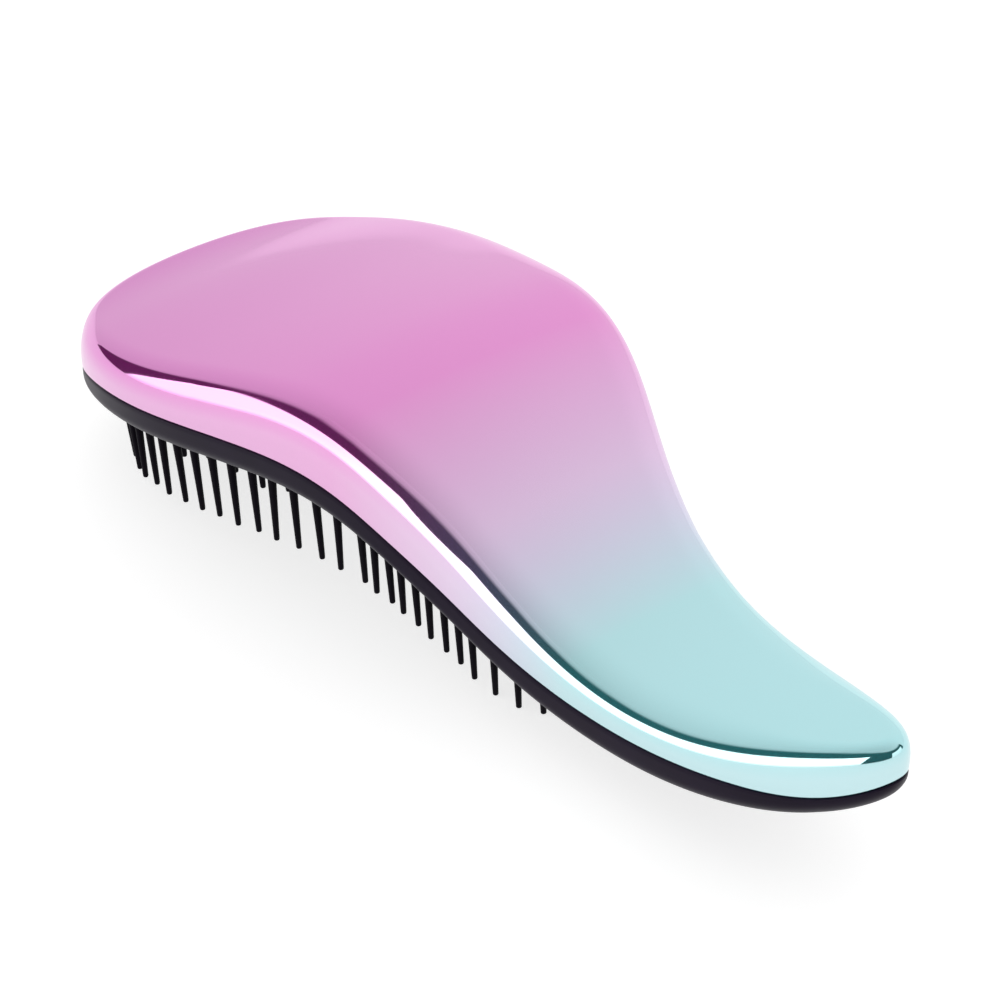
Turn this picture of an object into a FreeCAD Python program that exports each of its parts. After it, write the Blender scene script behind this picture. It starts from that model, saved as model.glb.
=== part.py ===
import FreeCAD, Part
import math
import os
import Sketcher

# Detangling brush: an S-curved plated top cover, a black base shell and a soft pad of teeth.
# X runs from the nose (-X) to the tail (+X), Y across, +Z up. The brush lies on its tooth
# tips, which touch z = 0, and x = 0 is halfway along it. Millimetres throughout.

V = FreeCAD.Vector

SIZES = {
    # Plan outline: distance from the nose and half width of each control point
    "length": 186.0,
    "nose_half": 19.5,
    "brow_x": 8.0,
    "brow_half": 33.0,
    "cheek_x": 38.5,
    "cheek_half": 40.0,
    "head_x": 67.5,
    "head_half": 34.2,
    "flank_x": 98.0,
    "flank_half": 28.4,
    "neck_x": 110.5,
    "neck_half": 22.2,
    "waist_x": 137.0,
    "waist_half": 17.2,
    "grip_x": 168.0,
    "grip_half": 14.6,
    "tail_half": 7.0,
    # Heights of the top line's control points, nose to tail
    "top_nose_end": 26.8,
    "top_nose": 25.5,
    "top_brow": 31.5,
    "top_cheek": 38.0,
    "top_head": 45.2,
    "top_crest": 49.9,
    "top_neck": 26.5,
    "top_waist": 18.5,
    "top_grip": 24.5,
    "top_tail": 31.2,
    "top_tail_end": 35.0,
    # Heights of the seam's control points, nose to tail
    "seam_nose_end": 13.3,
    "seam_nose": 13.8,
    "seam_brow": 22.2,
    "seam_cheek": 27.6,
    "seam_head": 32.7,
    "seam_crest": 35.5,
    "seam_neck": 15.6,
    "seam_waist": 12.5,
    "seam_grip": 17.4,
    "seam_tail": 21.2,
    "seam_tail_end": 29.9,
    # Form of the two shells
    "line_overrun": 4.0,
    "crown_radius": 260.0,
    "shoulder_radius": 3.6,
    "base_height": 6.0,
    "base_end_height": 3.2,
    "base_edge_radius": 2.6,
    "wall": 2.2,
    "floor": 2.0,
    # Seam: the base's tongue stands inside the cover's rebated rim
    "seam_gap": 0.15,
    "tongue_inset": 1.2,
    "tongue_height": 2.0,
    "tongue_clearance": 0.15,
    # Window in the base and the pad that fills it
    "window_inset": 5.0,
    "window_end": 124.0,
    "window_end_radius": 63.0,
    "window_corner": 5.0,
    "pad_clearance": 0.15,
    "pad_recess": 0.5,
    "flange_width": 1.8,
    "flange_thickness": 1.6,
    "post_radius": 1.5,
    "post_clearance": 0.1,
    # Teeth
    "tooth_inset": 1.6,
    "tooth_root_radius": 0.95,
    "tooth_tip_radius": 0.55,
    "long_tooth": 16.0,
    "short_tooth": 8.0,
    "tooth_lean": 4.0,
    "nose_lean": 9.0,
    "nose_zone": 30.0,
    "edge_pitch": 5.0,
    "flank_pitch": 2.7,
    "flank_from_x": 88.0,
    "flank_to_x": 109.0,
    "field_pitch": 5.0,
    "field_margin": 3.4,
}

# Control points of the side-view lines, evenly spread for a cubic line of eleven points
LINE_STATIONS = ["0", "1 / 24", "1 / 8", "1 / 4", "3 / 8", "1 / 2", "5 / 8", "3 / 4", "7 / 8", "23 / 24", "1"]
LINE_NAMES = ["nose_end", "nose", "brow", "cheek", "head", "crest", "neck", "waist", "grip", "tail", "tail_end"]
END_NAMES = ("nose_end", "nose", "tail", "tail_end")
OUTLINE_NAMES = ["brow", "cheek", "head", "flank", "neck", "waist", "grip"]

BLOCK_TOP = 80.0
BLOCK_BOTTOM = -30.0
BLOCK_HALF_WIDTH = 60.0
TOOTH_SIDES = 8
INSET_STEPS = 48
PATH_STEPS = 1200
END_MARGIN = 12.0
POST_STATIONS = (14.0, 46.0, 78.0, 106.0)

doc = FreeCAD.newDocument("detangling_brush")
sheet = doc.addObject("Spreadsheet::Sheet", "Sizes")
for row, (alias, value) in enumerate(SIZES.items(), start=1):
    sheet.set(f"A{row}", alias)
    sheet.set(f"B{row}", str(value))
    sheet.setAlias(f"B{row}", alias)
doc.recompute()


def size(alias):
    """The value of one cell of the sheet."""
    return float(getattr(sheet, alias))


def evaluated(expression):
    """The present value of an expression on the sheet."""
    value = sheet.evalExpression(expression)
    return float(getattr(value, "Value", value))


def cubic_knots(poles):
    """Knots and multiplicities of a cubic spline that starts and ends on its end poles."""
    spans = poles - 3
    return [i / spans for i in range(spans + 1)], [4] + [1] * (spans - 1) + [4]


def pin_spline(sketch, name, points):
    """Adds a cubic spline whose control points are bound to pairs of expressions."""
    values = [(evaluated(x), evaluated(y)) for x, y in points]
    knots, mults = cubic_knots(len(points))
    spline = Part.BSplineCurve()
    spline.buildFromPolesMultsKnots([V(x, y, 0) for x, y in values], mults, knots, False, 3)
    index = sketch.addGeometry(spline, False)
    sketch.exposeInternalGeometry(index)
    for k, (point, value) in enumerate(zip(points, values)):
        pole = index + 1 + k
        for kind, axis, expression, start in zip(("DistanceX", "DistanceY"), "xy", point, value):
            if expression == "0":
                sketch.addConstraint(Sketcher.Constraint("PointOnObject", pole, 3, -1))
                continue
            number = sketch.addConstraint(Sketcher.Constraint(kind, -1, 1, pole, 3, start))
            sketch.renameConstraint(number, f"{name}_{axis}{k}")
            sketch.setExpression(f"Constraints.{name}_{axis}{k}", expression)
    return index


def add_sketch(name):
    return doc.addObject("Sketcher::SketchObject", name)


def extrude(name, base, direction, forward, reverse=0.0):
    """A solid swept straight from a closed sketch or face."""
    solid = doc.addObject("Part::Extrusion", name)
    solid.Base = base
    solid.DirMode = "Custom"
    solid.Dir = direction
    solid.LengthFwd = forward
    solid.LengthRev = reverse
    solid.Solid = True
    return solid


def boolean(kind, name, shapes):
    """A Part::MultiCommon or Part::MultiFuse of several objects."""
    result = doc.addObject(kind, name)
    result.Shapes = shapes
    return result


def cut(name, base, tool):
    result = doc.addObject("Part::Cut", name)
    result.Base = base
    result.Tool = tool
    return result


def fillet(name, base, edges):
    """Rounds numbered edges of an object: edges is a list of (number, radius)."""
    result = doc.addObject("Part::Fillet", name)
    result.Base = base
    result.Edges = [(number, radius, radius) for number, radius in edges]
    return result


# Plan outline

def outline_points(sign):
    """Control points of one half of the outline, nose to tail, as expressions."""
    nose = "-Sizes.length / 2"
    tail = "Sizes.length / 2"
    points = [(nose, "0"), (nose, f"{sign}Sizes.nose_half")]
    for name in OUTLINE_NAMES:
        points.append((f"Sizes.{name}_x - Sizes.length / 2", f"{sign}Sizes.{name}_half"))
    return points + [(tail, f"{sign}Sizes.tail_half"), (tail, "0")]


outline = add_sketch("plan_outline")
far_half = pin_spline(outline, "far", outline_points(""))
pin_spline(outline, "near", outline_points("-"))
doc.recompute()


NOSE_X = -size("length") / 2
far_curve = outline.Geometry[far_half]


def inset_line(inset, steps):
    """Points along the far half of the outline, nose to tail, moved square inwards."""
    points = []
    for i in range(steps + 1):
        u = far_curve.FirstParameter + (far_curve.LastParameter - far_curve.FirstParameter) * i / steps
        point = far_curve.value(u)
        along = far_curve.tangent(u)[0]
        points.append(V(point.x + along.y * inset, point.y - along.x * inset, 0))
    return points


def inset_face(name, inset, reach):
    """The outline moved inwards, whole or cut straight across at a distance from the nose."""
    far_points = [p for p in inset_line(inset, INSET_STEPS) if p.x <= NOSE_X + reach]
    near_points = [V(p.x, -p.y, 0) for p in far_points]
    edges = []
    for points, side in ((far_points, 1), (near_points, -1)):
        curve = Part.BSplineCurve()
        before, last = points[-2:]
        end = V(0, -side, 0) if abs(last.y) < 0.001 else last - before
        curve.interpolate(Points=points, InitialTangent=V(0, side, 0), FinalTangent=end.normalize(), Scale=True)
        edges.append(curve.toShape())
    if abs(far_points[-1].y) > 0.001:
        edges.append(Part.makeLine(far_points[-1], near_points[-1]))
    face = doc.addObject("Part::Feature", name)
    face.Shape = Part.Face(Part.Wire(Part.sortEdges(edges)[0]))
    return face


def inset_prism(name, inset, reach=None):
    """The plan outline moved inwards and swept through the whole height."""
    profile = inset_face(f"{name}_outline", inset, reach or size("length")) if inset else outline
    return extrude(name, profile, V(0, 0, 1), BLOCK_TOP, -BLOCK_BOTTOM)


# Side-view lines: the seam, and the underside below it

def station(fraction):
    return f"(Sizes.length + 2 * Sizes.line_overrun) * ({fraction} - 1 / 2)"


def line_points(offset):
    """The seam line's control points, raised by offset(name), an expression."""
    return [
        (station(fraction), f"Sizes.seam_{name} + {offset(name)}")
        for fraction, name in zip(LINE_STATIONS, LINE_NAMES)
    ]


def from_seam(extra):
    return lambda name: f"({extra})"


def from_underside(extra):
    """Offsets that follow the base's underside, which lies nearer the seam at both ends."""
    def offset(name):
        height = "base_end_height" if name in END_NAMES else "base_height"
        return f"({extra} - Sizes.{height})"
    return offset


def line_block(name, offset, upwards):
    """A solid that fills all the space above, or below, a side-view line."""
    sketch = add_sketch(f"{name}_profile")
    sketch.Placement = FreeCAD.Placement(V(0, 0, 0), FreeCAD.Rotation(V(1, 0, 0), 90))
    points = line_points(offset)
    spline = pin_spline(sketch, "line", points)
    level = BLOCK_TOP if upwards else BLOCK_BOTTOM
    (x0, z0), (x1, z1) = [(evaluated(x), evaluated(z)) for x, z in (points[0], points[-1])]
    corners = [V(x0, z0, 0), V(x0, level, 0), V(x1, level, 0), V(x1, z1, 0)]
    sides = [sketch.addGeometry(Part.LineSegment(a, b), False) for a, b in zip(corners, corners[1:])]
    for first, second in ((0, 1), (1, 2)):
        sketch.addConstraint(Sketcher.Constraint("Coincident", sides[first], 2, sides[second], 1))
    sketch.addConstraint(Sketcher.Constraint("Coincident", sides[0], 1, spline, 1))
    sketch.addConstraint(Sketcher.Constraint("Coincident", sides[2], 2, spline, 2))
    sketch.addConstraint(Sketcher.Constraint("Vertical", sides[0]))
    sketch.addConstraint(Sketcher.Constraint("Vertical", sides[2]))
    sketch.addConstraint(Sketcher.Constraint("DistanceY", -1, 1, sides[0], 2, level))
    sketch.addConstraint(Sketcher.Constraint("Horizontal", sides[1]))
    return extrude(name, sketch, V(0, 1, 0), BLOCK_HALF_WIDTH, BLOCK_HALF_WIDTH)


# Top: the side-view top line carried across a shallow crown

def crown_block(name, lowered):
    """The space under the crowned top, lowered by an expression."""
    drop = BLOCK_HALF_WIDTH ** 2 / (2 * size("crown_radius"))
    across = ((-BLOCK_HALF_WIDTH, -drop), (0.0, drop), (BLOCK_HALF_WIDTH, -drop))
    poles = []
    for fraction, line_name in zip(LINE_STATIONS, LINE_NAMES):
        x = evaluated(station(fraction))
        z = size(f"top_{line_name}") - evaluated(lowered)
        poles.append([V(x, y, z + rise) for y, rise in across])
    knots, mults = cubic_knots(len(poles))
    surface = Part.BSplineSurface()
    surface.buildFromPolesMultsKnots(poles, mults, [3, 3], knots, [0.0, 1.0], False, False, 3, 2)
    face = doc.addObject("Part::Feature", f"{name}_face")
    face.Shape = surface.toShape()
    return extrude(name, face, V(0, 0, -1), BLOCK_TOP)


def rim_edges(shape, facing):
    """Numbers of the edges round the face that looks up (facing 1) or down (facing -1)."""
    def looks(face):
        u0, u1, v0, v1 = face.ParameterRange
        return face.normalAt((u0 + u1) / 2, (v0 + v1) / 2).z * facing > 0.5

    rims = [edge for face in shape.Faces if looks(face) for edge in face.Edges]
    return [n for n, edge in enumerate(shape.Edges, start=1) if any(edge.isSame(r) for r in rims)]


# Outer form of the closed brush, and the hollow inside it

doc.recompute()
outer_prism = inset_prism("outer_prism", 0.0)
inner_prism = inset_prism("inner_prism", size("wall"))
crown = crown_block("crown", "0")
inner_crown = crown_block("inner_crown", "Sizes.wall")
above_underside = line_block("above_underside", from_underside("0"), True)
above_floor = line_block("above_floor", from_underside("Sizes.floor"), True)
doc.recompute()
outer_blank = boolean("Part::MultiCommon", "outer_blank", [outer_prism, crown, above_underside])
hollow = boolean("Part::MultiCommon", "hollow", [inner_prism, inner_crown, above_floor])
doc.recompute()
outer_edges = [(n, size("shoulder_radius")) for n in rim_edges(outer_blank.Shape, 1)]
outer_edges += [(n, size("base_edge_radius")) for n in rim_edges(outer_blank.Shape, -1)]
outer_form = fillet("outer_form", outer_blank, outer_edges)
doc.recompute()

# Cover and base: the hollow form parted along the seam, with a tongue inside a rebate

below_seam = line_block("below_seam", from_seam("0"), False)
above_gap = line_block("above_gap", from_seam("-Sizes.seam_gap"), True)
below_tongue = line_block("below_tongue", from_seam("Sizes.tongue_height"), False)
below_rebate = line_block("below_rebate", from_seam("Sizes.tongue_height + Sizes.tongue_clearance"), False)
tongue_prism = inset_prism("tongue_prism", size("tongue_inset"))
rebate_prism = inset_prism("rebate_prism", size("tongue_inset") - size("tongue_clearance"))

shell = cut("shell", outer_form, hollow)
cover_skin = cut("cover_skin", shell, below_seam)
rebate = boolean("Part::MultiCommon", "rebate", [rebate_prism, below_rebate])
cover_rim = cut("cover_rim", cover_skin, rebate)
base_skin = boolean("Part::MultiCommon", "base_skin", [shell, below_tongue])
tongue_relief = cut("tongue_relief", above_gap, tongue_prism)
base_tray = cut("base_tray", base_skin, tongue_relief)

# Window in the base, and the pad that is pushed into it from inside


def window_block(name, growth):
    """The window's outline, grown by some millimetres, swept through the whole height."""
    prism = inset_prism(f"{name}_prism", size("window_inset") - growth, size("window_end") + END_MARGIN)
    end = doc.addObject("Part::Cylinder", f"{name}_end")
    end.setExpression("Radius", f"Sizes.window_end_radius + {growth}")
    end.Height = BLOCK_TOP - BLOCK_BOTTOM
    end.setExpression("Placement.Base.x", "Sizes.window_end - Sizes.window_end_radius - Sizes.length / 2")
    end.Placement.Base.z = BLOCK_BOTTOM
    head = boolean("Part::MultiCommon", f"{name}_head", [prism, end])
    doc.recompute()
    corners = []
    for face in head.Shape.Faces:
        if isinstance(face.Surface, Part.Cylinder):
            corners += [e for e in face.Edges if abs(e.tangentAt(e.FirstParameter).z) > 0.9]
    numbers = [n for n, e in enumerate(head.Shape.Edges, start=1) if any(e.isSame(c) for c in corners)]
    return fillet(f"{name}_block", head, [(n, size("window_corner")) for n in numbers])


window = window_block("window", 0.0)
plug = window_block("plug", -size("pad_clearance"))
flange = window_block("flange", size("flange_width"))

above_pad_face = line_block("above_pad_face", from_underside("Sizes.pad_recess"), True)
flange_top = "Sizes.floor + Sizes.flange_thickness"
above_flange = line_block("above_flange", from_underside(flange_top), True)
above_post_foot = line_block("above_post_foot", from_underside(f"{flange_top} + Sizes.post_clearance"), True)

base_shell = cut("base_shell", base_tray, window)
plug_blank = boolean("Part::MultiCommon", "plug_blank", [plug, above_pad_face])
plug_slab = cut("plug_slab", plug_blank, above_floor)
flange_blank = boolean("Part::MultiCommon", "flange_blank", [flange, above_floor])
flange_slab = cut("flange_slab", flange_blank, above_flange)
tooth_pad = boolean("Part::MultiFuse", "tooth_pad", [plug_slab, flange_slab])

# Posts under the cover's roof hold the pad's flange down on the base

def make_posts():
    line = inset_line(size("window_inset") - size("flange_width") / 2, PATH_STEPS)
    posts = []
    for reach in POST_STATIONS:
        spot = min(line, key=lambda p: abs(p.x - NOSE_X - reach))
        for side in (1, -1):
            foot = V(spot.x, side * spot.y, BLOCK_BOTTOM)
            posts.append(Part.makeCylinder(size("post_radius"), BLOCK_TOP - BLOCK_BOTTOM, foot))
    return Part.makeCompound(posts)


post_rods = doc.addObject("Part::Feature", "post_rods")
post_rods.Shape = make_posts()
posts = boolean("Part::MultiCommon", "posts", [post_rods, hollow, above_post_foot])
top_cover = boolean("Part::MultiFuse", "top_cover", [cover_rim, posts])
doc.recompute()

# Teeth: one long row round the window's edge, closer along the flanks, and a short field inside

underside_line = doc.getObject("above_underside_profile").Geometry[0]


def underside(x):
    """Height of the base's underside at a point along the brush."""
    overrun = size("line_overrun")
    return underside_line.value((x - NOSE_X + overrun) / (size("length") + 2 * overrun)).y


def edge_line():
    """Far half of the outer tooth row's path: along the window's side, then across its neck end."""
    inset = size("window_inset") + size("tooth_inset")
    radius = size("window_end_radius") - size("tooth_inset")
    middle = NOSE_X + size("window_end") - size("window_end_radius")
    path = [p for p in inset_line(inset, PATH_STEPS) if p.x < middle or math.hypot(p.x - middle, p.y) < radius]
    start = math.atan2(path[-1].y, path[-1].x - middle)
    steps = 60
    for i in range(1, steps + 1):
        angle = start * (1 - i / steps)
        path.append(V(middle + radius * math.cos(angle), radius * math.sin(angle), 0))
    return path


def in_flank(x):
    return size("flank_from_x") < x - NOSE_X < size("flank_to_x")


def edge_spots(path):
    """Even steps along the path, shorter on the flank."""
    spots = []
    walked = 0.5
    for before, after in zip(path, path[1:]):
        pitch = size("flank_pitch") if in_flank(after.x) else size("edge_pitch")
        walked += before.distanceToPoint(after) / pitch
        if walked >= 1.0:
            walked -= 1.0
            spots.append(after)
    return spots


def field_spots(path):
    """Staggered grid inside the edge row, kept clear of it."""
    ring = path + [V(p.x, -p.y, 0) for p in reversed(path)]
    patch = Part.Face(Part.makePolygon(ring + ring[:1]))
    pitch = size("field_pitch")
    row_pitch = pitch * math.sqrt(3) / 2
    rows = int(size("window_end") / row_pitch)
    half_count = int(BLOCK_HALF_WIDTH / pitch)
    spots = []
    for row in range(1, rows + 1):
        shift = pitch / 2 * (row % 2)
        for k in range(-half_count, half_count + 1):
            spot = V(NOSE_X + row * row_pitch, k * pitch + shift, 0)
            clear = min(spot.distanceToPoint(p) for p in path + ring) > size("field_margin")
            if clear and patch.isInside(spot, 0.001, True):
                spots.append(spot)
    return spots


def tooth(spot, length):
    """A tapered tooth that leans to the tail, more so at the nose, and stops at the table."""
    nearness = max(0.0, 1 - (spot.x - NOSE_X) / size("nose_zone"))
    lean = math.radians(size("tooth_lean") + size("nose_lean") * nearness)
    root = V(spot.x, spot.y, underside(spot.x) + size("pad_recess"))
    tip_z = max(underside(spot.x) - length, 0.0)
    tip = V(spot.x + (root.z - tip_z) * math.tan(lean), spot.y, tip_z)
    slope = underside(spot.x + 0.5) - underside(spot.x - 0.5)
    rings = []
    for centre, radius, tilt in ((root, size("tooth_root_radius"), slope), (tip, size("tooth_tip_radius"), 0.0)):
        angles = [math.tau * (k + 0.5) / TOOTH_SIDES for k in range(TOOTH_SIDES)]
        corners = [V(math.cos(a), math.sin(a), tilt * math.cos(a)) * radius + centre for a in angles]
        rings.append(Part.makePolygon(corners + corners[:1]))
    return Part.makeLoft(rings, True, True)


def tooth_group(name, spots, length):
    """Separate teeth that stand on the pad's face."""
    group = doc.addObject("Part::Feature", name)
    group.Shape = Part.makeCompound([tooth(spot, length) for spot in spots])
    return group


path = edge_line()
row = [V(p.x, side * p.y, 0) for p in edge_spots(path) for side in (1, -1)]
flank_teeth = tooth_group("flank_teeth", [p for p in row if in_flank(p.x)], size("long_tooth"))
edge_teeth = tooth_group("edge_teeth", [p for p in row if not in_flank(p.x)], size("long_tooth"))
field_teeth = tooth_group("field_teeth", field_spots(path), size("short_tooth"))
doc.recompute()

NODES = {
    "top_cover": top_cover,
    "base_shell": base_shell,
    "tooth_pad": tooth_pad,
    "edge_teeth": edge_teeth,
    "flank_teeth": flank_teeth,
    "field_teeth": field_teeth,
}

for obj in doc.Objects:
    if "Invalid" in obj.State or "Error" in obj.State:
        raise RuntimeError(f"{obj.Name} did not build: {obj.State}")
os.makedirs("parts", exist_ok=True)
for node, obj in NODES.items():
    if obj.Shape.isNull() or not obj.Shape.isValid():
        raise RuntimeError(f"{node} has no valid shape")
    obj.Label = node
    obj.Shape.exportStep(f"parts/{node}.step")
    print(node, len(obj.Shape.Solids), round(obj.Shape.Volume, 1), obj.Shape.BoundBox)
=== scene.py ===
import math
import bpy
import numpy as np
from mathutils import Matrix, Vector


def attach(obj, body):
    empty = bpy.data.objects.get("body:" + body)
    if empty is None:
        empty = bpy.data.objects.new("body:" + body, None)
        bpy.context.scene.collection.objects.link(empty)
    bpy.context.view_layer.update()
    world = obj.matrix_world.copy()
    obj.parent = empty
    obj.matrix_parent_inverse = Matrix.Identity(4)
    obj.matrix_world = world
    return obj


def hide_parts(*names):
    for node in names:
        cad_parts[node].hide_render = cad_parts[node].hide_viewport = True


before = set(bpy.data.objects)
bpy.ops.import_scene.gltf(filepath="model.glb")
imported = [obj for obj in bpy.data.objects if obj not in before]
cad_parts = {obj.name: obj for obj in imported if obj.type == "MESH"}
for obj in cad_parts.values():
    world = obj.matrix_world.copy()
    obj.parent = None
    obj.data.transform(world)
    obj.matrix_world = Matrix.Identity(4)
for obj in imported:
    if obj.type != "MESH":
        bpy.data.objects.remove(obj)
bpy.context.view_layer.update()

# Detangling brush: a plated top cover, a black base and soft teeth.
# Sizes of the brush are in millimetres and leans in degrees. Places along it count from the nose.
MM = 0.001
LENGTH = 186.0
NOSE_X = -LENGTH / 2
LINE_OVERRUN = 4.0
CROWN_RADIUS = 260.0
SHOULDER_RADIUS = 8.0
SHOULDER_FULLNESS = 2.5
NOSE_SHOULDER_DEPTH = 4.2
TAIL_SHOULDER_DEPTH = 3.5
FULL_SHOULDER_FROM = 80.0
FULL_SHOULDER_TO = 155.0
LEAST_COVER_SIDE = 1.0
COVER_LIP = 1.05
SEAM_GAP = 0.15
SEAM_EDGE = 0.35
SEAM_EDGE_MIDDLE = 0.1
BASE_LIP = 1.2
BASE_HEIGHT = 6.0
BASE_END_HEIGHT = 3.2
BASE_EDGE_RADIUS = 3.0
LEAST_BASE_SIDE = 0.9
WINDOW_INSET = 5.0
WINDOW_END = 124.0
WINDOW_END_RADIUS = 63.0
WINDOW_ARC_X = NOSE_X + WINDOW_END - WINDOW_END_RADIUS
WINDOW_DEPTH = 2.0
PAD_RECESS = 0.5
TOOTH_INSET = 1.6
LONG_TOOTH = 16.0
SHORT_TOOTH = 9.5
TOOTH_LEAN = 4.0
NOSE_LEAN = 9.0
NOSE_ZONE = 30.0
EDGE_PITCH = 5.0
FLANK_PITCH = 2.7
FLANK_FROM = 88.0
FLANK_TO = 109.0
FIELD_PITCH = 5.0
FIELD_MARGIN = 3.4

# A tooth's heights and radii: at the foot from the pad's surface, at the tip from its very end
TOOTH_FOOT = [(0.25, 1.0), (0.0, 0.93), (-0.5, 0.86)]
TOOTH_MIDDLE_RADIUS = 0.66
TOOTH_TIP = [(0.3, 0.50), (0.08, 0.44), (0.0, 0.30)]
TOOTH_SIDES = 10
# Uneven turn of the teeth, in radians
TOOTH_WOBBLE = 0.02
WOBBLE_SEED = 7

# Control points of the plan outline: distance from the nose, half width
OUTLINE = np.array([
    (0.0, 0.0), (0.0, 19.5), (8.0, 33.0), (38.5, 40.0), (67.5, 34.2), (98.0, 28.4),
    (110.5, 22.2), (137.0, 17.2), (168.0, 14.6), (186.0, 4.9), (186.0, 0.0),
])
# Control heights of the side-view lines, nose to tail
TOP_LINE = np.array([26.8, 25.5, 31.5, 38.0, 45.2, 49.9, 26.5, 18.5, 24.5, 31.2, 35.0])
SEAM_LINE = np.array([13.3, 13.8, 22.2, 27.6, 32.7, 35.5, 15.6, 12.5, 17.4, 21.2, 29.9])
BASE_DROP = np.array([BASE_END_HEIGHT] * 2 + [BASE_HEIGHT] * 7 + [BASE_END_HEIGHT] * 2)
UNDER_LINE = SEAM_LINE - BASE_DROP

# Stations along the outline, those round the tail that the window leaves out, and the share spaced evenly
STATIONS = 420
TAIL_STATIONS = 20
EVEN_SPACING = 0.3
# How finely the surfaces and the teeth's path are divided
COVER_SIDE_STEPS = 5
SHOULDER_STEPS = 29
TOP_STEPS = 49
BASE_SIDE_STEPS = 4
BASE_EDGE_STEPS = 11
FLOOR_STEPS = 11
PATH_STEPS = 1200
NECK_STEPS = 60
# Points this close are merged, in metres
WELD_DISTANCE = 5e-7


def spline_weights(us):
    """Weights of a cubic spline's control points at each parameter, from 0 at the nose to 1 at the tail."""
    cubic = 3
    spans = len(OUTLINE) - cubic
    knots = np.concatenate([[0.0] * cubic, np.linspace(0, 1, spans + 1), [1.0] * cubic])
    just_below_one = 1.0 - 1e-12
    us = np.clip(us, 0.0, just_below_one)
    basis = [np.where((us >= a) & (us < b), 1.0, 0.0) for a, b in zip(knots, knots[1:])]
    for degree in range(1, cubic + 1):
        raised = []
        for i in range(len(basis) - 1):
            left = knots[i + degree] - knots[i]
            right = knots[i + degree + 1] - knots[i + 1]
            value = np.zeros_like(us)
            if left > 0:
                value = value + (us - knots[i]) / left * basis[i]
            if right > 0:
                value = value + (knots[i + degree + 1] - us) / right * basis[i + 1]
            raised.append(value)
        basis = raised
    return np.stack(basis, axis=-1)


def line_height(line, x):
    """Height of a side-view line at x."""
    share = (np.asarray(x) - NOSE_X + LINE_OVERRUN) / (LENGTH + 2 * LINE_OVERRUN)
    return spline_weights(share) @ line


def top_height(x, y):
    """Height of the cover's crowned top."""
    return line_height(TOP_LINE, x) - np.asarray(y) ** 2 / (2 * CROWN_RADIUS)


def turned_inward(along):
    """Directions into the outline from unit directions along its far half."""
    return np.stack([along[:, 1], -along[:, 0]], axis=1)


def outline_stations():
    """Points and inward directions along the far half of the outline, closer together at both ends."""
    even = np.linspace(0, 1, STATIONS)
    crowded = (1 - np.cos(math.pi * even)) / 2
    us = EVEN_SPACING * even + (1 - EVEN_SPACING) * crowded
    points = spline_weights(us) @ OUTLINE
    nudge = 1e-4
    ahead = spline_weights(np.minimum(us + nudge, 1.0)) @ OUTLINE
    behind = spline_weights(np.maximum(us - nudge, 0.0)) @ OUTLINE
    along = ahead - behind
    along /= np.linalg.norm(along, axis=1)[:, None]
    along[0] = (0.0, 1.0)
    along[-1] = (0.0, -1.0)
    points[:, 0] += NOSE_X
    return points, turned_inward(along)


edge_points, edge_inward = outline_stations()


def inset(distance):
    """The outline moved inwards by one distance, or by one for each station."""
    return edge_points + edge_inward * np.reshape(distance, (-1, 1))


def side_row(distance, line, lift):
    """One row of a shell's side: the outline moved inwards and lifted off a side-view line."""
    spots = inset(distance)
    return np.column_stack([spots, line_height(line, spots[:, 0]) + lift])


def seam_rows(lip, gap, way):
    """Rows from a shell's lip in the seam, round its small edge and onto its side. way is 1 up, -1 down."""
    bends = [(lip, 0.0), (SEAM_EDGE, 0.0), (SEAM_EDGE_MIDDLE, SEAM_EDGE_MIDDLE), (0.0, SEAM_EDGE)]
    return [side_row(inward, SEAM_LINE, way * (gap + climb)) for inward, climb in bends]


def steps(start, end, count):
    """Even steps from the start, which is left out, to the end."""
    return np.linspace(start, end, count + 1)[1:]


def mirrored(rows):
    """The same rows on the near side, in the opposite order."""
    return [row * np.array([1.0, -1.0, 1.0]) for row in reversed(rows)]


def grid_mesh(name, rows, material, open_after=None):
    """A smooth mesh through rows of points, with repeated points merged. It may stay open after one row."""
    grid = np.stack(rows) * MM
    across, along = grid.shape[:2]
    corners = [
        (r * along + k, r * along + k + 1, (r + 1) * along + k + 1, (r + 1) * along + k)
        for r in range(across - 1)
        for k in range(along - 1)
        if r != open_after
    ]
    mesh = bpy.data.meshes.new(name)
    mesh.from_pydata(grid.reshape(-1, 3).tolist(), [], corners)
    mesh.validate()
    piece = bpy.data.objects.new(name, mesh)
    bpy.context.scene.collection.objects.link(piece)
    weld = piece.modifiers.new("weld", "WELD")
    weld.merge_threshold = WELD_DISTANCE
    graph = bpy.context.evaluated_depsgraph_get()
    welded = bpy.data.meshes.new_from_object(piece.evaluated_get(graph))
    piece.modifiers.remove(weld)
    piece.data = welded
    welded.shade_smooth()
    welded.materials.clear()
    welded.materials.append(material)
    return piece


# Finishes. Colours along the cover are given from 0 at the nose to 1 at the tail.
PLATING_FADE = [
    (0.0, (0.72, 0.33, 0.64)),
    (0.48, (0.83, 0.37, 0.70)),
    (0.60, (0.83, 0.62, 0.82)),
    (0.72, (0.57, 0.80, 0.83)),
    (1.0, (0.54, 0.80, 0.83)),
]
DYE_FADE = [
    (0.0, (0.60, 0.0, 0.40)),
    (0.50, (0.60, 0.02, 0.45)),
    (0.61, (0.30, 0.25, 0.62)),
    (0.72, (0.0, 0.60, 0.66)),
    (1.0, (0.0, 0.64, 0.70)),
]
LACQUER_SHARE = 0.17
# Pale white that the plating is mixed towards: painted light on the upright side band
PAINTED_LIGHT_COLOUR = (0.9, 0.9, 0.92, 1.0)
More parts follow.
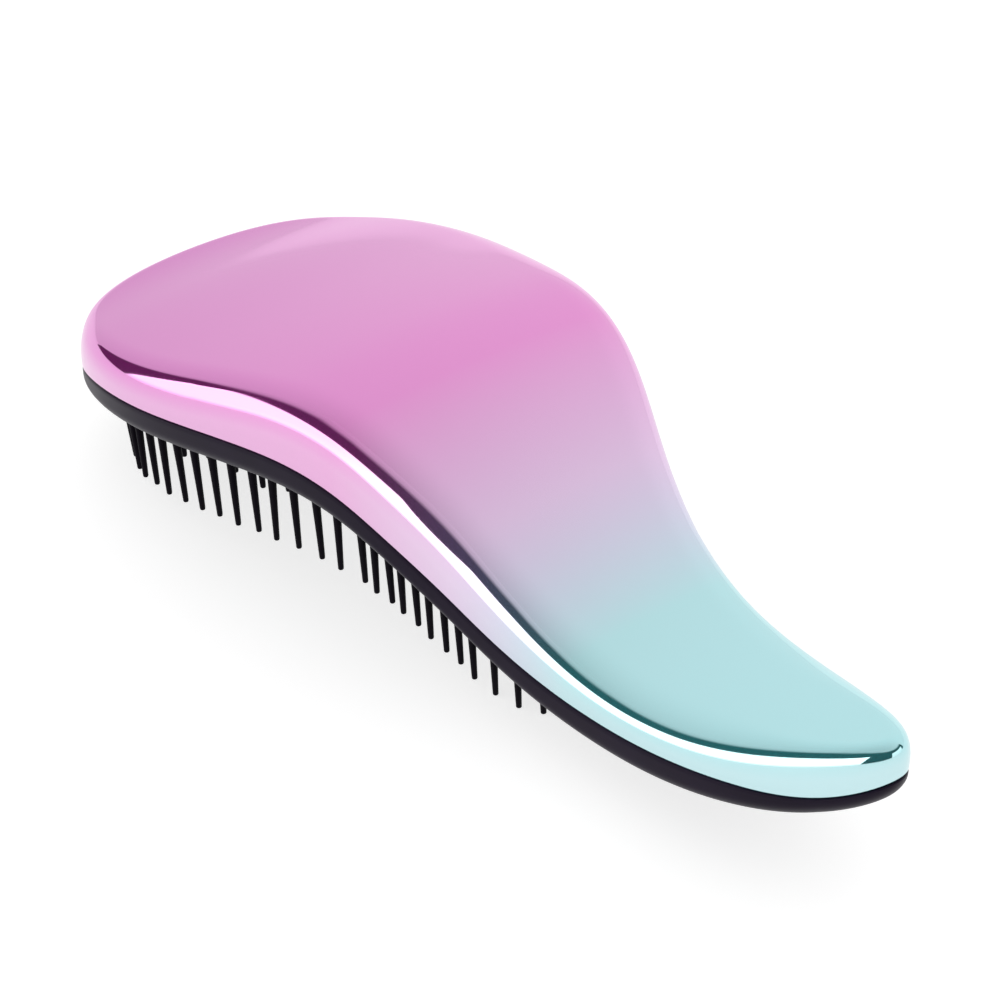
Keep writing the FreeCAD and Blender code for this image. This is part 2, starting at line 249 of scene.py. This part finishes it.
# How far the surface faces up, and how much paler the plating is painted there: painted light on the
# upright side band
SIDE_FACING = (0.1, 0.5)
SIDE_PAINTED_LIGHT = (0.28, 0.0)
PLATING_ROUGHNESS = (0.045, 0.075)
BLACK_TONES_AT = (0.35, 0.7)
WHOLE_SPAN = (0.0, 1.0)


def node(tree, kind, label, **values):
    """Adds a shader node and sets its plain inputs by name."""
    made = tree.nodes.new(kind)
    made.label = label
    for key, value in values.items():
        made.inputs[key].default_value = value
    return made


def mapped(tree, label, source, from_span, to_span):
    """A value carried from one span to another and held at the ends."""
    made = node(tree, "ShaderNodeMapRange", label)
    keys = ("From Min", "From Max", "To Min", "To Max")
    for key, value in zip(keys, (*from_span, *to_span)):
        made.inputs[key].default_value = value
    tree.links.new(source, made.inputs["Value"])
    return made.outputs["Result"]


def ramp(tree, label, source, stops):
    """A colour that fades from stop to stop as a value grows."""
    made = node(tree, "ShaderNodeValToRGB", label)
    elements = made.color_ramp.elements
    while len(elements) < len(stops):
        elements.new(0.5)
    for element, (place, colour) in zip(elements, stops):
        element.position = place
        element.color = (*colour, 1.0)
    tree.links.new(source, made.inputs["Fac"])
    return made.outputs["Color"]


def mottle(tree, label, place, scale, detail):
    """Soft uneven patches over the surface."""
    made = node(tree, "ShaderNodeTexNoise", label, Scale=scale, Detail=detail)
    tree.links.new(place, made.inputs["Vector"])
    return made.outputs["Fac"]


def new_material(name):
    """An empty material with its node tree and shader."""
    material = bpy.data.materials.new(name)
    material.use_nodes = True
    tree = material.node_tree
    shader = tree.nodes["Principled BSDF"]
    return material, tree, shader


def plated_cover_material():
    """Mirror plating with dyed lacquer, fading from pink at the head to teal at the tail, with painted
    light making its upright side band paler.
    """
    material, tree, shader = new_material("plated_cover")
    place = node(tree, "ShaderNodeTexCoord", "place on the brush").outputs["Object"]
    split = node(tree, "ShaderNodeSeparateXYZ", "along the brush")
    tree.links.new(place, split.inputs[0])
    ends = (NOSE_X * MM, (NOSE_X + LENGTH) * MM)
    along = mapped(tree, "nose to tail", split.outputs["X"], ends, WHOLE_SPAN)
    fade = ramp(tree, "pink to teal", along, PLATING_FADE)
    # Painted light: where the surface stands upright, the plating's colour is mixed towards pale white.
    surface = node(tree, "ShaderNodeNewGeometry", "surface")
    facing = node(tree, "ShaderNodeSeparateXYZ", "which way it faces")
    tree.links.new(surface.outputs["Normal"], facing.inputs[0])
    painted_light = mapped(tree, "painted light on the side band", facing.outputs["Z"], SIDE_FACING, SIDE_PAINTED_LIGHT)
    plating = node(tree, "ShaderNodeMix", "plating")
    plating.data_type = "RGBA"
    plating.inputs["B"].default_value = PAINTED_LIGHT_COLOUR
    tree.links.new(painted_light, plating.inputs["Factor"])
    tree.links.new(fade, plating.inputs["A"])
    tree.links.new(plating.outputs["Result"], shader.inputs["Base Color"])
    shader.inputs["Metallic"].default_value = 1.0
    haze = mottle(tree, "plating haze", place, scale=60.0, detail=3.0)
    gloss = mapped(tree, "gloss", haze, WHOLE_SPAN, PLATING_ROUGHNESS)
    tree.links.new(gloss, shader.inputs["Roughness"])
    dye = ramp(tree, "dye in the lacquer", along, DYE_FADE)
    lacquer = node(tree, "ShaderNodeBsdfDiffuse", "lacquer")
    tree.links.new(dye, lacquer.inputs["Color"])
    blend = node(tree, "ShaderNodeMixShader", "plating and lacquer", Fac=LACQUER_SHARE)
    tree.links.new(shader.outputs[0], blend.inputs[1])
    tree.links.new(lacquer.outputs[0], blend.inputs[2])
    tree.links.new(blend.outputs[0], tree.nodes["Material Output"].inputs["Surface"])
    return material


def black_material(name, dark, light, roughness, grain, shine):
    """Black moulded plastic with a faint uneven sheen."""
    material, tree, shader = new_material(name)
    place = node(tree, "ShaderNodeTexCoord", "place on the brush").outputs["Object"]
    sheen = mottle(tree, "mould sheen", place, scale=grain, detail=4.0)
    tone = ramp(tree, "black tones", sheen, list(zip(BLACK_TONES_AT, (dark, light))))
    tree.links.new(tone, shader.inputs["Base Color"])
    gloss = mapped(tree, "gloss", sheen, WHOLE_SPAN, roughness)
    tree.links.new(gloss, shader.inputs["Roughness"])
    shader.inputs["Specular IOR Level"].default_value = shine
    return material


cover_finish = plated_cover_material()
base_finish = black_material(
    "black_base",
    dark=(0.013, 0.008, 0.020),
    light=(0.017, 0.011, 0.026),
    roughness=(0.32, 0.44),
    grain=90.0,
    shine=0.08,
)
# Teeth and pad: their own black, painted much darker than the base as painted shade under the brush.
tooth_black_and_painted_shade = black_material(
    "soft_teeth",
    dark=(0.0030, 0.0016, 0.0050),
    light=(0.0042, 0.0022, 0.0068),
    roughness=(0.5, 0.62),
    grain=160.0,
    shine=0.06,
)


# Plated top cover

def eased(x, places, values):
    """Values eased from each place to the next."""
    step = np.clip(np.searchsorted(places, x) - 1, 0, len(places) - 2)
    start, end = np.array(places)[step], np.array(places)[step + 1]
    share = np.clip((x - start) / (end - start), 0.0, 1.0)
    share = share ** 2 * (3 - 2 * share)
    return np.array(values)[step] * (1 - share) + np.array(values)[step + 1] * share


def cover_rows():
    """Rows of the cover's skin from the far seam over the top to the near seam."""
    x, y = edge_points.T
    places = [NOSE_X, NOSE_X + FULL_SHOULDER_FROM, NOSE_X + FULL_SHOULDER_TO, NOSE_X + LENGTH]
    depths = [NOSE_SHOULDER_DEPTH, SHOULDER_RADIUS, SHOULDER_RADIUS, TAIL_SHOULDER_DEPTH]
    depth = eased(x, places, depths)
    side = top_height(x, y) - line_height(SEAM_LINE, x)
    rise = np.minimum(SHOULDER_RADIUS, side - LEAST_COVER_SIDE)
    rows = seam_rows(COVER_LIP, 0.0, 1)
    low = rows[-1]
    high = np.column_stack([edge_points, top_height(x, y) - rise])
    rows += [low + (high - low) * t for t in steps(0, 1, COVER_SIDE_STEPS)]
    for angle in steps(0, math.pi / 2, SHOULDER_STEPS):
        inward = 1 - max(math.cos(angle), 0.0) ** (2 / SHOULDER_FULLNESS)
        drop = 1 - math.sin(angle) ** (2 / SHOULDER_FULLNESS)
        spots = inset(depth * inward)
        heights = top_height(spots[:, 0], spots[:, 1]) - rise * drop
        rows.append(np.column_stack([spots, heights]))
    rim = rows[-1]
    top = []
    for t in steps(1, -1, TOP_STEPS)[:-1]:
        across = rim[:, 1] * t
        top.append(np.column_stack([rim[:, 0], across, top_height(rim[:, 0], across)]))
    return rows + top + mirrored(rows)


# Black base

def window_half_width(x):
    """Half width of the window at x, nothing outside it."""
    side = inset(WINDOW_INSET)[:-TAIL_STATIONS]
    width = np.interp(x, side[:, 0], side[:, 1])
    reach = np.maximum(x - WINDOW_ARC_X, 0.0)
    end = np.sqrt(np.maximum(WINDOW_END_RADIUS ** 2 - reach ** 2, 0.0))
    inside = (x > side[0, 0]) & (x < NOSE_X + WINDOW_END)
    return np.where(inside, np.minimum(width, end), 0.0)


def base_rows():
    """Rows of the base's far half: its side, its floor and the wall of the window."""
    x = edge_points[:, 0]
    side = line_height(SEAM_LINE, x) - line_height(UNDER_LINE, x)
    radius = np.minimum(BASE_EDGE_RADIUS, side - LEAST_BASE_SIDE)
    rows = seam_rows(BASE_LIP, SEAM_GAP, -1)
    high = rows[-1]
    low = side_row(0.0, UNDER_LINE, radius)
    rows += [high + (low - high) * t for t in steps(0, 1, BASE_SIDE_STEPS)]
    for angle in steps(0, math.pi / 2, BASE_EDGE_STEPS):
        inward = radius * (1 - math.cos(angle))
        rise = radius * (1 - math.sin(angle))
        rows.append(side_row(inward, UNDER_LINE, rise))
    rim = rows[-1]
    inner = window_half_width(rim[:, 0])
    under = line_height(UNDER_LINE, rim[:, 0])
    for t in steps(0, 1, FLOOR_STEPS):
        across = rim[:, 1] + (inner - rim[:, 1]) * t
        rows.append(np.column_stack([rim[:, 0], across, under]))
    window_wall = np.where(inner > 0.0, WINDOW_DEPTH, 0.0)
    rows.append(rows[-1] + np.outer(window_wall, (0.0, 0.0, 1.0)))
    return rows


# Teeth: a row round the window's edge and a staggered field inside it

def edge_path():
    """Far half of the edge row's path, then across the window's neck end."""
    radius = WINDOW_END_RADIUS - TOOTH_INSET
    points = spline_weights(np.linspace(0, 1, PATH_STEPS + 1)) @ OUTLINE
    along = np.gradient(points, axis=0)
    along /= np.linalg.norm(along, axis=1)[:, None]
    points[:, 0] += NOSE_X
    points += turned_inward(along) * (WINDOW_INSET + TOOTH_INSET)
    kept = [
        point for point in points
        if point[0] < WINDOW_ARC_X or math.hypot(point[0] - WINDOW_ARC_X, point[1]) < radius
    ]
    start = math.atan2(kept[-1][1], kept[-1][0] - WINDOW_ARC_X)
    for t in steps(1, 0, NECK_STEPS):
        across = np.array([math.cos(start * t), math.sin(start * t)]) * radius
        kept.append(across + np.array([WINDOW_ARC_X, 0.0]))
    return np.array(kept)


def edge_spots(path):
    """Even steps along the path, shorter on the flank, with their mirror images."""
    spots = []
    # Half a pitch at the nose, so that the two halves start one pitch apart
    pitches = 0.5
    for before, after in zip(path, path[1:]):
        on_flank = FLANK_FROM < after[0] - NOSE_X < FLANK_TO
        pitches += math.dist(before, after) / (FLANK_PITCH if on_flank else EDGE_PITCH)
        if pitches >= 1.0:
            pitches -= 1.0
            spots += [(after[0], after[1], on_flank), (after[0], -after[1], on_flank)]
    return spots


def field_spots(path):
    """Staggered grid inside the edge row, kept clear of it."""
    ring = np.concatenate([path, path * np.array([1.0, -1.0])])
    row_pitch = FIELD_PITCH * math.sqrt(3) / 2
    reach = int(path[:, 1].max() / FIELD_PITCH) + 1
    spots = []
    for row in range(1, int(WINDOW_END / row_pitch) + 1):
        x = NOSE_X + row * row_pitch
        if not path[:, 0].min() < x < path[:, 0].max():
            continue
        side = path[np.argmin(np.abs(path[:, 0] - x)), 1]
        for k in range(-reach, reach + 1):
            y = k * FIELD_PITCH + FIELD_PITCH / 2 * (row % 2)
            clear = np.hypot(ring[:, 0] - x, ring[:, 1] - y).min() > FIELD_MARGIN
            if clear and abs(y) < side:
                spots.append((x, y))
    return spots


def tooth_profile(name, length):
    """One upright tooth under the pad: a small foot, a taper and a rounded tip."""
    tip = [(height - length, radius) for height, radius in TOOTH_TIP]
    rings = TOOTH_FOOT + [(-length / 2, TOOTH_MIDDLE_RADIUS)] + tip
    turns = [math.tau * k / TOOTH_SIDES for k in range(TOOTH_SIDES)]
    points = [
        (radius * math.cos(turn) * MM, radius * math.sin(turn) * MM, height * MM)
        for height, radius in rings
        for turn in turns
    ]
    faces = []
    for ring in range(len(rings) - 1):
        upper = ring * TOOTH_SIDES
        lower = upper + TOOTH_SIDES
        for k in range(TOOTH_SIDES):
            beside = (k + 1) % TOOTH_SIDES
            faces.append((upper + k, lower + k, lower + beside, upper + beside))
    last = (len(rings) - 1) * TOOTH_SIDES
    faces.append(tuple(last + k for k in reversed(range(TOOTH_SIDES))))
    mesh = bpy.data.meshes.new(name)
    mesh.from_pydata(points, [], faces)
    mesh.shade_smooth()
    return bpy.data.objects.new(name, mesh)


def tooth_tree(material):
    """A tree that sets a tooth on every root point, leaned and stretched by the point's own values."""
    tree = bpy.data.node_groups.new("tooth rows", "GeometryNodeTree")
    tree.interface.new_socket("Roots", in_out="INPUT", socket_type="NodeSocketGeometry")
    tree.interface.new_socket("Tooth", in_out="INPUT", socket_type="NodeSocketObject")
    wobble = tree.interface.new_socket("Wobble", in_out="INPUT", socket_type="NodeSocketFloat")
    wobble.default_value = TOOTH_WOBBLE
    seed = tree.interface.new_socket("Seed", in_out="INPUT", socket_type="NodeSocketInt")
    seed.default_value = WOBBLE_SEED
    tree.interface.new_socket("Teeth", in_out="OUTPUT", socket_type="NodeSocketGeometry")
    add = tree.nodes.new
    link = tree.links.new
    inputs = add("NodeGroupInput")
    outputs = add("NodeGroupOutput")
    tooth = add("GeometryNodeObjectInfo")
    link(inputs.outputs["Tooth"], tooth.inputs["Object"])
    lean = add("GeometryNodeInputNamedAttribute")
    lean.inputs["Name"].default_value = "lean"
    stretch = add("GeometryNodeInputNamedAttribute")
    stretch.inputs["Name"].default_value = "stretch"
    sway = add("FunctionNodeRandomValue")
    sway.data_type = "FLOAT_VECTOR"
    other_way = add("ShaderNodeMath")
    other_way.operation = "MULTIPLY"
    other_way.inputs[1].default_value = -1.0
    link(inputs.outputs["Wobble"], other_way.inputs[0])
    link(other_way.outputs[0], sway.inputs["Min"])
    link(inputs.outputs["Wobble"], sway.inputs["Max"])
    link(inputs.outputs["Seed"], sway.inputs["Seed"])
    lean_turn = add("ShaderNodeCombineXYZ")
    link(lean.outputs["Attribute"], lean_turn.inputs["Y"])
    whole_turn = add("ShaderNodeVectorMath")
    link(lean_turn.outputs[0], whole_turn.inputs[0])
    link(sway.outputs["Value"], whole_turn.inputs[1])
    scale = add("ShaderNodeCombineXYZ")
    scale.inputs["X"].default_value = 1.0
    scale.inputs["Y"].default_value = 1.0
    link(stretch.outputs["Attribute"], scale.inputs["Z"])
    place = add("GeometryNodeInstanceOnPoints")
    link(inputs.outputs["Roots"], place.inputs["Points"])
    link(tooth.outputs["Geometry"], place.inputs["Instance"])
    link(whole_turn.outputs[0], place.inputs["Rotation"])
    link(scale.outputs[0], place.inputs["Scale"])
    whole = add("GeometryNodeRealizeInstances")
    link(place.outputs[0], whole.inputs[0])
    finish = add("GeometryNodeSetMaterial")
    finish.inputs["Material"].default_value = material
    link(whole.outputs[0], finish.inputs["Geometry"])
    link(finish.outputs[0], outputs.inputs["Teeth"])
    return tree


def tooth_group(name, spots, tooth, length, tree):
    """All the teeth of one kind as one mesh, none of them reaching below the floor."""
    roots, leans, stretches = [], [], []
    for x, y in spots:
        under = float(line_height(UNDER_LINE, x))
        surface = under + PAD_RECESS
        tip = max(under - length, 0.0)
        nearness = max(0.0, 1 - (x - NOSE_X) / NOSE_ZONE)
        lean = math.radians(TOOTH_LEAN + NOSE_LEAN * nearness)
        roots.append((x * MM, y * MM, surface * MM))
        leans.append(-lean)
        stretches.append((surface - tip) / math.cos(lean) / length)
    mesh = bpy.data.meshes.new(name)
    mesh.from_pydata(roots, [], [])
    for attribute, values in (("lean", leans), ("stretch", stretches)):
        mesh.attributes.new(attribute, "FLOAT", "POINT").data.foreach_set("value", values)
    piece = bpy.data.objects.new(name, mesh)
    bpy.context.scene.collection.objects.link(piece)
    grow = piece.modifiers.new("teeth", "NODES")
    grow.node_group = tree
    sockets = {item.name: item.identifier for item in tree.interface.items_tree}
    grow[sockets["Tooth"]] = tooth
    graph = bpy.context.evaluated_depsgraph_get()
    grown = bpy.data.meshes.new_from_object(piece.evaluated_get(graph))
    piece.modifiers.remove(grow)
    piece.data = grown
    return piece


cover = grid_mesh("plated_top_cover", cover_rows(), cover_finish)
# The cover's rows run over its top and the base's under its floor, so the cover's faces are turned outwards
cover.data.flip_normals()
base_sides = base_rows()
base = grid_mesh("black_base_shell", base_sides + mirrored(base_sides), base_finish, len(base_sides) - 1)

path = edge_path()
edge_row = edge_spots(path)
rows_tree = tooth_tree(tooth_black_and_painted_shade)
long_tooth = tooth_profile("long_tooth", LONG_TOOTH)
short_tooth = tooth_profile("short_tooth", SHORT_TOOTH)
round_edge = [(x, y) for x, y, on_flank in edge_row if not on_flank]
on_flanks = [(x, y) for x, y, on_flank in edge_row if on_flank]
edge_teeth = tooth_group("long_edge_teeth", round_edge, long_tooth, LONG_TOOTH, rows_tree)
flank_teeth = tooth_group("close_flank_teeth", on_flanks, long_tooth, LONG_TOOTH, rows_tree)
field_teeth = tooth_group("short_field_teeth", field_spots(path), short_tooth, SHORT_TOOTH, rows_tree)

pieces = {
    cover: ("top_cover", "plated_cover"),
    base: ("base_shell", "black_base"),
    edge_teeth: ("edge_teeth", "soft_teeth"),
    flank_teeth: ("flank_teeth", "soft_teeth"),
    field_teeth: ("field_teeth", "soft_teeth"),
}
for piece, (cad_node, finish) in pieces.items():
    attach(piece, "root")
    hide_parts(cad_node)
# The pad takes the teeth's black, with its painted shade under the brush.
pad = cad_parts["tooth_pad"]
pad.data.materials.clear()
pad.data.materials.append(tooth_black_and_painted_shade)


# Studio, in metres and degrees: a pale floor in a white tent, a dark screen round the near side,
# and two low softboxes in front of it, one along the brush and one towards its tail
STAGE_ROUGHNESS = 0.9
FLOOR_HALF = 12.0
FLOOR_DROP = 0.0002
FLOOR_GREY = 0.5
FLOOR_FADE = (0.35, 2.5)
FLOOR_GLOW = (0.74, 0.56)
SCREEN_GREY = 0.05
SCREEN_RADIUS = 1.16
SOFTBOX_RADIUS = 1.10
SCREEN_STEP = 5.0
# Upper edges of the screens: azimuth, height
DARK_EDGE = [(-84, 3), (-71, 23), (-52, 34), (-35, 41), (0, 43), (32, 40), (60, 35), (100, 31), (150, 28)]
STRIP_EDGE = [(-61, 25), (27, 25)]
TAIL_EDGE = [(84, 19), (140, 19)]
# Glow of the screens: share of that height, strength. The dark one fades into the tent above its edge.
DARK_GLOW = [(0.0, 0.01), (1.0, 0.01), (1.08, 0.25), (1.18, 0.6), (1.4, 0.75)]
STRIP_GLOW = [(0.0, 1.5), (0.2, 2.6), (0.94, 2.6), (1.0, 0.6)]
TAIL_GLOW = [(0.0, 1.2), (0.8, 1.5), (1.0, 0.6)]
TENT_BRIGHT_SIDE = (195, 8)
TENT_FACING = (-0.4, 0.9)
TENT_GLOW = (0.70, 1.02)
CAMERA_SIDE = (52, 37)
CAMERA_PLACE = (0.2517, -0.1951, 0.2599)
CAMERA_LENS = 86.4
CAMERA_SENSOR = 36.0
CAMERA_NEAREST = 0.01
WHITE = (1.0, 1.0, 1.0, 1.0)


def direction(azimuth, elevation):
    """Unit direction from the brush, with azimuth 0 at its near side."""
    a, e = math.radians(azimuth), math.radians(elevation)
    return Vector((math.sin(a) * math.cos(e), -math.cos(a) * math.cos(e), math.sin(e)))


def stage_material(name, grey):
    """A plain matt grey surface, with the socket for the strength of its white glow."""
    material, tree, shader = new_material(name)
    shader.inputs["Base Color"].default_value = (grey, grey, grey, 1.0)
    shader.inputs["Roughness"].default_value = STAGE_ROUGHNESS
    shader.inputs["Specular IOR Level"].default_value = 0.0
    shader.inputs["Emission Color"].default_value = WHITE
    return material, tree, shader.inputs["Emission Strength"]


def stage_mesh(name, corners, faces, material):
    """A piece of the studio, not of the brush."""
    mesh = bpy.data.meshes.new(name)
    mesh.from_pydata([tuple(c) for c in corners], [], faces)
    mesh.materials.append(material)
    piece = bpy.data.objects.new(name, mesh)
    bpy.context.scene.collection.objects.link(piece)
    return piece


def combined(tree, label, operation, first, second):
    """One value worked out from two."""
    made = node(tree, "ShaderNodeMath", label)
    made.operation = operation
    tree.links.new(first, made.inputs[0])
    tree.links.new(second, made.inputs[1])
    return made.outputs["Value"]


def pale_floor():
    """A pale floor, whiter near the brush, that glows where it is seen directly or in the plating."""
    finish, tree, strength = stage_material("pale_floor", FLOOR_GREY)
    place = node(tree, "ShaderNodeTexCoord", "place on the floor")
    distance = node(tree, "ShaderNodeVectorMath", "distance from the brush")
    distance.operation = "LENGTH"
    tree.links.new(place.outputs["Object"], distance.inputs[0])
    glow = mapped(tree, "whiter near the brush", distance.outputs["Value"], FLOOR_FADE, FLOOR_GLOW)
    ray = node(tree, "ShaderNodeLightPath", "what sees the floor")
    directly = ray.outputs["Is Camera Ray"]
    in_plating = ray.outputs["Is Glossy Ray"]
    seen = combined(tree, "seen directly or in the plating", "MAXIMUM", directly, in_plating)
    white = combined(tree, "white where it is seen", "MULTIPLY", glow, seen)
    tree.links.new(white, strength)
    signs = ((-1, -1), (1, -1), (1, 1), (-1, 1))
    corners = [(x * FLOOR_HALF, y * FLOOR_HALF, -FLOOR_DROP) for x, y in signs]
    stage_mesh("floor", corners, [(0, 1, 2, 3)], finish)


def finer(edge):
    """The same edge with points every few degrees."""
    azimuths = np.arange(edge[0][0], edge[-1][0] + SCREEN_STEP / 2, SCREEN_STEP)
    return list(zip(azimuths, np.interp(azimuths, *zip(*edge))))


def curved_screen(name, radius, edge, rows):
    """An upright screen bent round the brush, reflected in it but hidden from the camera.

    edge gives the height at each azimuth. rows gives the glow at shares of that height.
    """
    finish, tree, strength = stage_material(name, SCREEN_GREY)
    glow = node(tree, "ShaderNodeAttribute", "glow painted on the screen")
    glow.attribute_name = "glow"
    tree.links.new(glow.outputs["Fac"], strength)
    corners, faces, glows = [], [], []
    tall = len(rows)
    for i, (azimuth, elevation) in enumerate(finer(edge)):
        foot = direction(azimuth, 0) * radius
        for k, (share, glow_here) in enumerate(rows):
            height = radius * math.tan(math.radians(elevation * share))
            corners.append(foot + Vector((0.0, 0.0, height)))
            glows.append(glow_here)
            if i and k:
                corner = i * tall + k
                faces.append((corner - tall - 1, corner - 1, corner, corner - tall))
    screen = stage_mesh(name, corners, faces, finish)
    screen.data.attributes.new("glow", "FLOAT", "POINT").data.foreach_set("value", glows)
    screen.visible_camera = False


def white_tent():
    """White light from all round, a little brighter on the far side."""
    world = bpy.data.worlds.new("white_tent")
    bpy.context.scene.world = world
    world.use_nodes = True
    tree = world.node_tree
    coords = node(tree, "ShaderNodeTexCoord", "direction")
    facing = node(tree, "ShaderNodeVectorMath", "towards the far side")
    facing.operation = "DOT_PRODUCT"
    facing.inputs[1].default_value = direction(*TENT_BRIGHT_SIDE)
    tree.links.new(coords.outputs["Generated"], facing.inputs[0])
    glow = mapped(tree, "tent glow", facing.outputs["Value"], TENT_FACING, TENT_GLOW)
    background = tree.nodes["Background"]
    tree.links.new(glow, background.inputs["Strength"])
    background.inputs["Color"].default_value = WHITE


def photo_camera():
    """The camera at the photograph's place and angle."""
    camera_data = bpy.data.cameras.new("photo_camera")
    camera_data.lens = CAMERA_LENS
    camera_data.sensor_width = CAMERA_SENSOR
    camera_data.clip_start = CAMERA_NEAREST
    camera = bpy.data.objects.new("photo_camera", camera_data)
    camera.location = CAMERA_PLACE
    camera.rotation_euler = direction(*CAMERA_SIDE).to_track_quat("Z", "Y").to_euler()
    bpy.context.scene.collection.objects.link(camera)
    bpy.context.scene.camera = camera


pale_floor()
curved_screen("dark_screen", SCREEN_RADIUS, DARK_EDGE, DARK_GLOW)
curved_screen("strip_softbox", SOFTBOX_RADIUS, STRIP_EDGE, STRIP_GLOW)
curved_screen("tail_softbox", SOFTBOX_RADIUS, TAIL_EDGE, TAIL_GLOW)
white_tent()
photo_camera()
bpy.context.scene.view_settings.view_transform = "Standard"
